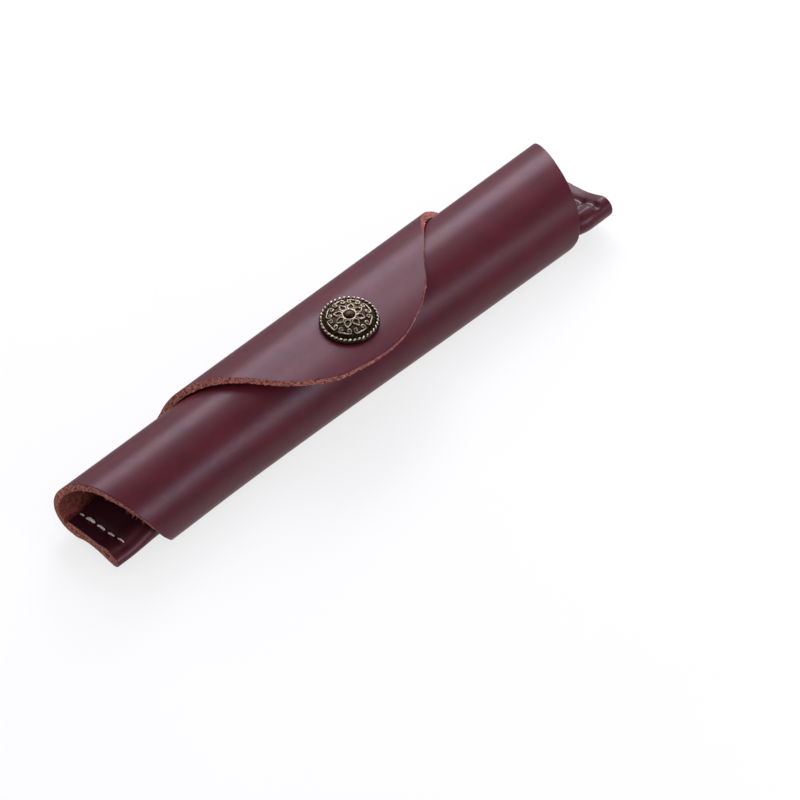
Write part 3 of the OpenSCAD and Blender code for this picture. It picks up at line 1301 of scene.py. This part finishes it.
@dataclass
class TurnAndFlap(LeatherPiece):
    """The last turn round the spine and the rounded flap that closes the sleeve."""

    columns: int = 230
    rows: int = 84
    seed: int = 9
    pressing: Pressing = Pressing(0.45, -6.15, 24.6, 22.9, 5.6, 9.5)
    # Cut outline on the strip: X and the run from the foot of the turn
    near_side: tuple[tuple[float, float], ...] = (
        (-62.55, 0.0), (-54.2, 6.9), (-47.3, 13.3), (-45.4, 16.5), (-44.2, 19.0),
        (-42.1, 23.0),
    )  # fmt: skip
    far_side: tuple[tuple[float, float], ...] = (
        (62.55, 0.0), (53.5, 12.6), (48.3, 18.4), (44.3, 23.0),
    )  # fmt: skip
    point: tuple[tuple[float, float], ...] = (
        (-42.1, 23.0), (-39.8, 26.2), (-36.9, 30.6), (-33.0, 36.0), (-28.9, 41.2),
        (-26.6, 44.3), (-24.0, 47.1), (-21.2, 49.6), (-18.4, 51.5), (-15.7, 53.1),
        (-13.2, 54.3), (-10.2, 55.1), (-7.3, 55.5), (-4.8, 55.95), (-2.3, 56.2),
        (1.0, 56.4), (4.3, 56.3), (6.8, 56.0), (8.6, 55.7), (11.2, 54.9), (13.2, 54.0),
        (17.1, 52.2), (19.4, 50.9), (21.9, 48.9), (25.1, 46.2), (28.3, 42.2), (33.5, 36.7),
        (38.4, 30.4), (42.2, 25.4), (44.3, 23.0),
    )  # fmt: skip

    def outline(self, share: np.ndarray, along: np.ndarray) -> np.ndarray:
        """Places a cell corner inside the cut outline's four sides.

        Args:
            share: Its share from the near side to the far side.
            along: Its share from the foot of the turn to the point.

        Returns:
            One row of X and run for each corner.
        """
        foot = Curve([self.near_side[0], self.far_side[0]])
        point, near, far = Curve(self.point), Curve(self.near_side), Curve(self.far_side)
        u, v = share[:, None], along[:, None]
        corners = (
            (1 - u) * (1 - v) * foot.at(np.zeros(1))
            + u * (1 - v) * foot.at(np.ones(1))
            + (1 - u) * v * point.at(np.zeros(1))
            + u * v * point.at(np.ones(1))
        )
        where = (
            (1 - v) * foot.at(share)
            + v * point.at(share)
            + (1 - u) * near.at(along)
            + u * far.at(along)
            - corners
        )
        return where + np.array([0.0, self.line.turn_run])

    def build(self, finishes: Sequence[bpy.types.Material]) -> bpy.types.Object:
        """Cuts, dresses and rolls the piece.

        Args:
            finishes: The grain, cut edge and flesh side materials.

        Returns:
            The finished piece.
        """
        turn = self.line.turn_run

        def joint(run: float) -> bool:
            """Says whether a run is where the turn starts."""
            return run < turn + 0.02

        piece = self.lay_flat(
            "turn_and_closing_flap", self.columns, self.rows, self.outline, finishes
        )
        self.thicken(piece, joint)
        self.roughen_edges(piece, joint)
        self.keep_flat_place(piece)
        self.roll(piece, self.pressing, (turn + 20.0, turn + 70.0))
        smooth_shade(piece, 50.0)
        return piece


@dataclass
class LooseFibres(LeatherPiece):
    """Short fibres that the knife left hanging along a cut edge."""

    # The cut edge: X and run, with the leather on its right hand
    edge: Sequence[tuple[float, float]] = ()
    count: int = 12
    stretch: tuple[float, float] = (0.04, 0.98)
    longest: float = 1.0
    fibre_r: float = 0.075

    def build(self, name: str, finish: bpy.types.Material) -> bpy.types.Object:
        """Draws the fibres.

        Args:
            name: The piece's name.
            finish: The cut leather's material.

        Returns:
            The fibres.
        """
        chance = np.random.default_rng(self.seed)
        cut = Curve(self.edge)
        paths = []
        for share in chance.uniform(*self.stretch, self.count):
            root, ahead = cut.at(np.array([share, share + 0.01]))
            way = (ahead - root) / np.linalg.norm(ahead - root)
            away = np.array([-way[1], way[0]]) + way * chance.normal(0.0, 0.5)
            length = self.longest * chance.uniform(0.35, 1.0)
            depth = chance.uniform(1.3, 1.9)
            path = []
            for part in np.linspace(0.0, 1.0, 6):
                x, run = root + away * (length * part - 0.15)
                spot = np.array([x]), np.array([run])
                side = self.line.grain(*spot)[0] - self.line.outward(*spot)[0] * (
                    depth + 0.7 * length * part**2
                )
                path.append((x, side[0] + self.line.sizes.centre_y, side[1]))
            paths.append(np.array(path))
        taper = np.linspace(1.0, 0.3, 6)
        piece = wire(name, paths, self.fibre_r, sides=1, tapers=[taper] * len(paths))
        dress(piece, finish)
        self.keep_flat_place(piece)
        return piece


@dataclass
class Seam:
    """A short row of saddle stitches that closes one end of the pocket."""

    line: RollLine
    end: End
    x_from: float
    x_to: float
    hole_y: tuple[float, ...]
    fullness: tuple[float, ...]
    ply_r: float = 0.27
    twist_r: float = 0.24
    sink: float = 0.9
    crown: float = 0.42
    turns: float = 1.1
    plies: int = 3

    # Runs that lie on the base and on the pocket panel, and the points along a stitch
    BASE_RUN = 38.0
    PANEL_RUN = 8.0
    POINTS = 19

    def _surface(self, x: float, y: float, low: bool) -> float:
        """Height of the leather under a stitch, with its dent.

        Args:
            x: Place along the sleeve.
            y: Place across it.
            low: Whether it is the base's underside.

        Returns:
            The height.
        """
        run = self.BASE_RUN if low else self.PANEL_RUN
        line = self.line.base_height if low else self.line.pocket_height
        dent = RolledBody(self.line).dents(
            np.array([x]), np.array([run]), np.array([y])
        )
        return float(line(x, np.array([y]))[0] - dent[0])

    def stitch(self, index: int, low: bool) -> list[np.ndarray]:
        """Paths of the twisted plies of one stitch.

        Args:
            index: The stitch's number from the spine.
            low: Whether it is the one under the base.

        Returns:
            One path for each ply.
        """
        y0, y1 = self.hole_y[index], self.hole_y[index + 1]
        count = len(self.hole_y) - 1
        x0 = self.x_from + (self.x_to - self.x_from) * index / count
        x1 = self.x_from + (self.x_to - self.x_from) * (index + 1) / count
        share = np.linspace(0.0, 1.0, self.POINTS)
        x = x0 + (x1 - x0) * share
        y = y0 + (y1 - y0) * (0.06 + 0.88 * share)
        side = -1.0 if low else 1.0
        level = np.array([self._surface(a, b, low) for a, b in zip(x, y)])
        rise = np.sin(np.pi * share) ** 0.55
        full = self.fullness[index]
        crown = self.crown * (0.25 if low else full)
        z = level + side * (-self.sink + (self.sink + crown) * rise)
        middle = np.column_stack([x, y + self.line.sizes.centre_y, z])
        along = np.gradient(middle, axis=0)
        along /= np.linalg.norm(along, axis=1)[:, None]
        across = np.cross(along, np.array([1.0, 0.0, 0.0]))
        across /= np.linalg.norm(across, axis=1)[:, None]
        sideways = np.cross(along, across)
        paths = []
        for ply in range(self.plies):
            angle = 2 * np.pi * (ply / self.plies + self.turns * share)
            paths.append(
                middle
                + self.twist_r
                * full
                * (
                    np.cos(angle)[:, None] * across
                    + np.sin(angle)[:, None] * sideways
                )
            )
        return paths

    def build(self, finish: bpy.types.Material) -> bpy.types.Object:
        """Sews the seam.

        Args:
            finish: The thread's material.

        Returns:
            The thread.
        """
        share = np.linspace(0.0, 1.0, self.POINTS)
        belly = 0.62 + 0.38 * np.sin(np.pi * share)
        paths, tapers = [], []
        for index, full in enumerate(self.fullness):
            for low in (False, True):
                for path in self.stitch(index, low):
                    paths.append(path)
                    tapers.append(belly * full)
        name = f"{self.end.name.lower()}_end_stitches"
        piece = wire(name, paths, self.ply_r, tapers=tapers)
        dress(piece, finish)
        return piece


# ---- the press stud ----


@dataclass
class DecorativeCap:
    """The domed cap: rope edge, plain channel, scrollwork, open petals and a set centre."""

    x: float = 0.55
    y: float = -4.2
    top_z: float = 27.8
    dome: float = 34.0
    ring_r: float = 1.75
    bead_r: float = 7.26
    bead_z: float = 26.02
    bead_count: int = 38
    bead_slant: float = 0.5
    bead: tuple[float, float, float] = (0.28, 0.58, 0.33)
    petal_count: int = 8
    petal_turn: float = -6.5
    scroll_turn: float = -11.0
    wire_r: float = 0.21
    # The wires' depth in the dome, and the set centre's half axes and depth under the top
    wire_sink: float = 0.22
    centre: tuple[float, float, float] = (1.55, 1.55, 0.75)
    centre_sink: float = 0.42
    # Half section of the shell: radius and height
    shell: tuple[tuple[float, float], ...] = (
        (0.0, 24.7), (7.35, 24.7), (7.68, 24.85), (7.8, 25.2), (7.78, 25.5), (7.66, 25.74),
        (7.5, 25.84), (7.2, 25.86), (6.95, 25.88), (6.8, 25.96), (6.7, 26.1), (6.5, 26.24),
        (6.25, 26.4), (6.08, 26.54), (5.98, 26.56), (5.88, 26.46), (5.6, 26.5), (4.8, 26.8),
        (3.9, 27.03), (3.0, 27.2), (2.2, 27.3), (1.9, 27.35), (0.0, 27.4),
    )  # fmt: skip
    petal: tuple[tuple[float, float], ...] = (
        (1.88, -9.0), (2.2, -15.0), (2.65, -17.8), (3.1, -14.0), (3.5, -7.5), (3.98, 0.0),
        (3.5, 7.5), (3.1, 14.0), (2.65, 17.8), (2.2, 15.0), (1.88, 9.0),
    )  # fmt: skip
    scroll: tuple[tuple[float, float], ...] = (
        (5.72, 0.0), (5.76, 6.0), (5.82, 11.5), (5.72, 15.6), (5.36, 17.2), (4.94, 18.0),
        (4.6, 16.0), (4.5, 12.0), (4.66, 8.6), (4.98, 8.0), (5.2, 10.0), (5.14, 12.4),
    )  # fmt: skip

    def _lift(self, radius: np.ndarray) -> np.ndarray:
        """Height of the scrollwork's wires over a radius, on the cap's dome."""
        return self.top_z - self.wire_sink - (radius**2 - self.ring_r**2) / self.dome

    def _on_dome(self, polar: np.ndarray, turn: float) -> np.ndarray:
        """Puts radius and angle pairs on the dome.

        Args:
            polar: Rows of radius and angle in degrees.
            turn: Degrees that they are turned by.

        Returns:
            Rows of X, Y and Z.
        """
        angle = np.radians(polar[:, 1] + turn)
        return np.column_stack(
            [
                self.x + polar[:, 0] * np.cos(angle),
                self.y + polar[:, 0] * np.sin(angle),
                self._lift(polar[:, 0]),
            ]
        )

    def build_shell(self, patina: bpy.types.Material) -> bpy.types.Object:
        """Spins the shell from its half section.

        Args:
            patina: The dark ground's material.

        Returns:
            The shell.
        """
        deselect_all()
        bpy.ops.mesh.primitive_circle_add(
            vertices=len(self.shell), radius=MM, fill_type="NOTHING"
        )
        piece = bpy.context.active_object
        piece.name = piece.data.name = "cap_shell"
        write_points(piece, np.array([(self.x + r, self.y, z) for r, z in self.shell]))
        bpy.ops.object.mode_set(mode="EDIT")
        bpy.ops.mesh.select_mode(type="EDGE")
        axis_ends = {0, len(self.shell) - 1}
        select_edges(piece, lambda edge: {v.index for v in edge.verts} == axis_ends)
        bpy.ops.mesh.delete(type="EDGE")
        bpy.ops.mesh.select_all(action="SELECT")
        bpy.ops.mesh.spin(
            steps=96,
            angle=2 * math.pi,
            center=(self.x * MM, self.y * MM, 0.0),
            axis=(0.0, 0.0, 1.0),
            use_auto_merge=True,
        )
        bpy.ops.mesh.select_all(action="SELECT")
        bpy.ops.mesh.remove_doubles(threshold=2e-6)
        bpy.ops.mesh.normals_make_consistent(inside=False)
        bpy.ops.object.mode_set(mode="OBJECT")
        dress(piece, patina)
        smooth_shade(piece, 35.0)
        return piece

    def build_beads(self, metal: bpy.types.Material) -> bpy.types.Object:
        """Models one slanted bead and copies it round the rim.

        Args:
            metal: The edge's worn metal.

        Returns:
            The rope edge.
        """
        deselect_all()
        bpy.ops.mesh.primitive_uv_sphere_add(
            segments=12, ring_count=8, radius=MM, location=(0, 0, 0)
        )
        bead = bpy.context.active_object
        points = read_points(bead) * np.array(self.bead)
        slant = Matrix.Rotation(self.bead_slant, 3, "Z")
        points = points @ np.array(slant).T
        write_points(bead, points + np.array([self.bead_r, 0.0, 0.0]))
        bpy.ops.object.shade_smooth()
        dress(bead, metal)
        copies = []
        for index in range(self.bead_count):
            turn = Matrix.Rotation(2 * math.pi * index / self.bead_count, 4, "Z")
            move = Matrix.Translation((self.x * MM, self.y * MM, self.bead_z * MM))
            copies.append(copy_piece(bead, move @ turn))
        bpy.data.objects.remove(bead)
        return join_pieces("cap_rope_edge", copies)

    def build_scrollwork(self, rubbed: bpy.types.Material) -> bpy.types.Object:
        """Lays the ring, the open petals and the paired scrolls on the dome.

        Args:
            rubbed: The bright metal.

        Returns:
            The scrollwork.
        """
        step = 360.0 / self.petal_count
        petal = Curve(self.petal, 4).points
        half = Curve(self.scroll, 4).points
        scroll = np.vstack([half[::-1] * np.array([1.0, -1.0]), half[1:]])
        ring = np.array([(self.ring_r, a) for a in np.arange(0.0, 360.0, 10.0)])
        petals = [
            self._on_dome(petal, self.petal_turn + step * k)
            for k in range(self.petal_count)
        ]
        scrolls = [
            self._on_dome(scroll, self.scroll_turn + step * k)
            for k in range(self.petal_count)
        ]
        parts = [
            wire("petals", petals, self.wire_r),
            wire("scrolls", scrolls, self.wire_r),
            wire("ring", [self._on_dome(ring, 0.0)], self.wire_r * 1.35, closed=True),
        ]
        piece = join_pieces("cap_scrollwork", parts)
        dress(piece, rubbed)
        return piece

    def build_centre(self, patina: bpy.types.Material) -> bpy.types.Object:
        """Models the small faceted dome inside the ring.

        Args:
            patina: The centre's material.

        Returns:
            The centre.
        """
        deselect_all()
        bpy.ops.mesh.primitive_uv_sphere_add(
            segments=16, ring_count=12, radius=MM, location=(0, 0, 0)
        )
        piece = bpy.context.active_object
        piece.name = piece.data.name = "cap_centre"
        points = read_points(piece) * np.array(self.centre)
        points[:, 2] = np.maximum(points[:, 2], -0.2)
        place = np.array([self.x, self.y, self.top_z - self.centre_sink])
        write_points(piece, points + place)
        dress(piece, patina)
        smooth_shade(piece, 12.0)
        return piece


# ---- the studio ----


@dataclass(frozen=True)
class SoftBox:
    """A soft rectangular lamp that faces the sleeve."""

    name: str
    towards: tuple[float, float, float]
    distance: float
    width: float
    height: float
    radiance: float
    tint: str = "#ffffff"
    roll: float = 0.0

    def build(self, target: Vector) -> None:
        """Hangs the lamp.

        Args:
            target: The point it faces.
        """
        lamp = bpy.data.lights.new(self.name, "AREA")
        lamp.shape = "RECTANGLE"
        lamp.size, lamp.size_y = self.width, self.height
        lamp.energy = self.radiance * math.pi * self.width * self.height
        lamp.color = linear(self.tint)[:3]
        holder = bpy.data.objects.new(self.name, lamp)
        bpy.context.scene.collection.objects.link(holder)
        out = Vector(self.towards).normalized()
        holder.location = target + out * self.distance
        holder.rotation_mode = "QUATERNION"
        turn = Quaternion((0.0, 0.0, 1.0), math.radians(self.roll))
        holder.rotation_quaternion = out.to_track_quat("Z", "Y") @ turn


@dataclass(frozen=True)
class Studio:
    """A pale floor, soft lamps and the camera at the photograph's angle."""

    target: tuple[float, float, float] = (0.0, 0.0021, 0.009)
    right: tuple[float, float, float] = (0.71664, -0.69741, -0.01040)
    up: tuple[float, float, float] = (0.53331, 0.53828, 0.65255)
    forward: tuple[float, float, float] = (0.4494, 0.4731, -0.7577)
    distance: float = 1.798
    aside: tuple[float, float] = (0.017529, -0.012735)
    lens: float = 315.50
    lamps: tuple[SoftBox, ...] = (
        SoftBox("back_softbox", (0.548, 0.600, 0.583), 0.62, 0.60, 0.27, 7.6, "#f4eeff", 50.0),
        SoftBox("top_softbox", (0.39, 0.23, 0.86), 0.70, 0.60, 0.21, 1.8, "#f4eeff"),
        SoftBox("front_softbox", (0.22, -0.90, 0.30), 0.62, 0.38, 0.14, 9.0, "#e9e4ff", 25.0),
    )  # fmt: skip
    floor_low: str = "#7a797b"
    floor_high: str = "#7c7b7d"
    floor_glow: float = 0.74
    # Distances from the sleeve's line between which the mirrored floor fades, and what is left
    floor_fade: tuple[float, float] = (10.0, 48.0)
    far_floor_share: float = 0.1
    world_level: float = 0.75
    ceiling_level: float = 0.2
    ceiling_heights: tuple[float, float] = (0.20, 0.60)

    def seen_rays(
        self, tree: bpy.types.NodeTree, mirrored: bpy.types.NodeSocket | float
    ) -> bpy.types.NodeSocket:
        """Picks out the rays that see the background, straight or in a shiny surface.

        Args:
            tree: The node tree of the floor or the world.
            mirrored: How much of the background a shiny surface shows.

        Returns:
            A socket that is 1 for rays that see it in full and 0 for those that carry light.
        """
        rays = add_node(tree, "ShaderNodeLightPath")
        straight = add_node(
            tree,
            "ShaderNodeMath",
            {"operation": "ADD"},
            {0: rays.outputs["Is Camera Ray"], 1: rays.outputs["Is Transmission Ray"]},
        )
        return add_node(
            tree,
            "ShaderNodeMath",
            {"operation": "MULTIPLY_ADD", "use_clamp": True},
            {0: rays.outputs["Is Glossy Ray"], 1: mirrored, 2: straight.outputs[0]},
        ).outputs[0]

    def build_floor(self) -> bpy.types.Object:
        """Lays the floor: a white sheet that shiny surfaces see only near the sleeve.

        Returns:
            The floor.
        """
        deselect_all()
        bpy.ops.mesh.primitive_plane_add(size=4.0, location=(0.0, 0.0, -0.0002))
        floor = bpy.context.active_object
        floor.name = "studio_floor"
        material, tree, shader = new_material("paper_floor")
        place = object_place(tree)
        paper = cloud(tree, place, 50.0)
        tone = two_tones(tree, paper, self.floor_low, self.floor_high, (0.3, 0.7))
        across = add_node(tree, "ShaderNodeSeparateXYZ", inputs={"Vector": place})
        aside = add_node(
            tree,
            "ShaderNodeMath",
            {"operation": "ABSOLUTE"},
            {0: across.outputs["Y"]},
        )
        sheet = add_node(
            tree,
            "ShaderNodeMapRange",
            {"interpolation_type": "SMOOTHSTEP"},
            {
                "Value": aside.outputs[0],
                "From Min": self.floor_fade[0],
                "From Max": self.floor_fade[1],
                "To Min": 1.0,
                "To Max": self.far_floor_share,
            },
        )
        glow = add_node(
            tree,
            "ShaderNodeMath",
            {"operation": "MULTIPLY"},
            {0: self.seen_rays(tree, sheet.outputs["Result"]), 1: self.floor_glow},
        )
        tree.links.new(tone, shader.inputs["Base Color"])
        shader.inputs["Roughness"].default_value = 0.9
        shader.inputs["Specular IOR Level"].default_value = 0.1
        shader.inputs["Emission Color"].default_value = (1.0, 1.0, 1.0, 1.0)
        tree.links.new(glow.outputs[0], shader.inputs["Emission Strength"])
        dress(floor, material)
        return floor

    def build_world(self) -> None:
        """Surrounds the scene with a white backdrop under a dim ceiling."""
        world = bpy.data.worlds.new("even_studio_light")
        bpy.context.scene.world = world
        world.use_nodes = True
        tree = world.node_tree
        ways = add_node(tree, "ShaderNodeTexCoord").outputs["Generated"]
        height = add_node(tree, "ShaderNodeSeparateXYZ", inputs={"Vector": ways})
        backdrop = add_node(
            tree,
            "ShaderNodeMapRange",
            {"interpolation_type": "SMOOTHSTEP"},
            {
                "Value": height.outputs["Z"],
                "From Min": self.ceiling_heights[0],
                "From Max": self.ceiling_heights[1],
                "To Min": 1.0,
                "To Max": self.ceiling_level,
            },
        )
        level = add_node(
            tree,
            "ShaderNodeMix",
            {"data_type": "FLOAT"},
            {
                0: self.seen_rays(tree, 1.0),
                2: self.world_level,
                3: backdrop.outputs["Result"],
            },
        )
        sky = tree.nodes["Background"]
        sky.inputs["Color"].default_value = (1.0, 1.0, 1.0, 1.0)
        tree.links.new(level.outputs[0], sky.inputs["Strength"])

    def build_camera(self) -> None:
        """Puts the camera where the photograph was taken from."""
        lens = bpy.data.cameras.new("photograph_camera")
        lens.sensor_width = 36.0
        lens.lens = self.lens
        lens.clip_end = 20.0
        camera = bpy.data.objects.new("photograph_camera", lens)
        bpy.context.scene.collection.objects.link(camera)
        right, up, forward = Vector(self.right), Vector(self.up), Vector(self.forward)
        camera.location = (
            Vector(self.target)
            + right * self.aside[0]
            + up * self.aside[1]
            - forward * self.distance
        )
        turn = Matrix((right, up, -forward)).transposed()
        camera.rotation_mode = "QUATERNION"
        camera.rotation_quaternion = turn.to_quaternion()
        bpy.context.scene.camera = camera

    def build(self) -> bpy.types.Object:
        """Builds the whole studio.

        Returns:
            The floor, which isn't part of the object.
        """
        floor = self.build_floor()
        self.build_world()
        self.build_camera()
        for lamp in self.lamps:
            lamp.build(Vector(self.target))
        bpy.context.scene.view_settings.view_transform = "Standard"
        return floor


def dress_frame_nodes(
    frame: dict, finish: bpy.types.Material, names: Sequence[str]
) -> None:
    """Gives nodes of the frame that stay in view their real finish.

    Args:
        finish: The material.
        names: The nodes that have it.
    """
    for name in names:
        node = frame["nodes"][name]
        dress(node, finish)
        LOG.info("frame node %s: %s", name, finish.name)


def attach(
    piece: bpy.types.Object, body: str, stands_for: Sequence[str] = ()
) -> None:
    """Fixes a finished piece to a body of the frame.

    Args:
        piece: The piece.
        body: The body it moves with.
        stands_for: The frame's nodes that it takes the place of.
    """
    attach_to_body(piece, body)
    if stands_for:
        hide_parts(*stands_for)
    LOG.info("%s: %d faces on %s", piece.name, len(piece.data.polygons), body)


def main() -> None:
    """Builds the sleeve's pieces in order and the studio round them."""
    logging.basicConfig(level=logging.INFO, format="%(name)s: %(message)s")
    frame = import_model()
    line = RollLine(RollSizes())
    leather = [GrainLeather().build(), CutLeather().build(), FleshLeather().build()]
    thread = WaxedThread().build()
    patina = AntiqueBrass("antique_brass_patina", "#1f1812", "#3e3427", 0.38).build()
    rubbed = AntiqueBrass("antique_brass_rubbed", "#6c614f", "#b9aa92", 0.33).build()
    roped = AntiqueBrass("antique_brass_edge", "#94886f", "#d8cab5", 0.32).build()
    steel = SpringSteel().build()

    roll = RolledBody(line)
    attach(
        roll.build(leather),
        "sleeve",
        ("pocket_panel", "base_panel", "wrap_panel", "under_panel"),
    )
    near = Seam(
        line, End.NEAR, -80.8, -80.1, (8.1, 5.7, 2.0, -1.8, -5.2, -8.6),
        (0.5, 0.95, 0.7, 0.55, 0.45),
    )  # fmt: skip
    attach(near.build(thread), "sleeve", ("near_end_thread",))
    # Painted shade: the far seam's thread is the same thread, coloured darker for the shade it
    # lies in
    shaded_thread = WaxedThread("far_thread_painted_shade", "#6d5a5e", "#a8969a").build()
    far = Seam(
        line, End.FAR, 82.0, 82.6, (7.6, 3.6, -0.5, -4.6, -8.9, -13.2),
        (0.6, 0.6, 0.6, 0.6, 0.6), crown=0.12,
    )  # fmt: skip
    attach(far.build(shaded_thread), "sleeve", ("far_end_thread",))
    near_cut = [
        (inset - roll.half_len, line.spine_run + run)
        for run, inset in roll.near_cut
        if 14.0 < run < 57.0
    ]
    fibres = LooseFibres(line, seed=21, edge=near_cut, count=14)
    attach(fibres.build("near_edge_fibres", leather[1]), "sleeve")

    cap = DecorativeCap()
    attach(cap.build_shell(patina), "flap", ("snap_cap",))
    for piece in (
        cap.build_beads(roped),
        cap.build_scrollwork(rubbed),
        cap.build_centre(patina),
    ):
        attach(piece, "flap")
    dress_frame_nodes(
        frame, patina, ("cap_post", "snap_socket", "snap_stud", "stud_eyelet")
    )
    dress_frame_nodes(frame, steel, ("socket_spring",))

    cover = TurnAndFlap(line)
    flap = cover.build(leather)
    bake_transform(flap)
    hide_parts("turn_panel", "closing_flap")
    LOG.info("%s: %d faces, bends at the hinge", flap.name, len(flap.data.polygons))
    point_cut = [(x, line.turn_run + run) for x, run in cover.point]
    fibres = LooseFibres(
        line, seed=33, edge=point_cut, count=18, stretch=(0.12, 0.8), longest=0.55
    )
    attach(fibres.build("flap_edge_fibres", leather[1]), "flap")

    Studio().build()


if __name__ == "__main__":
    main()
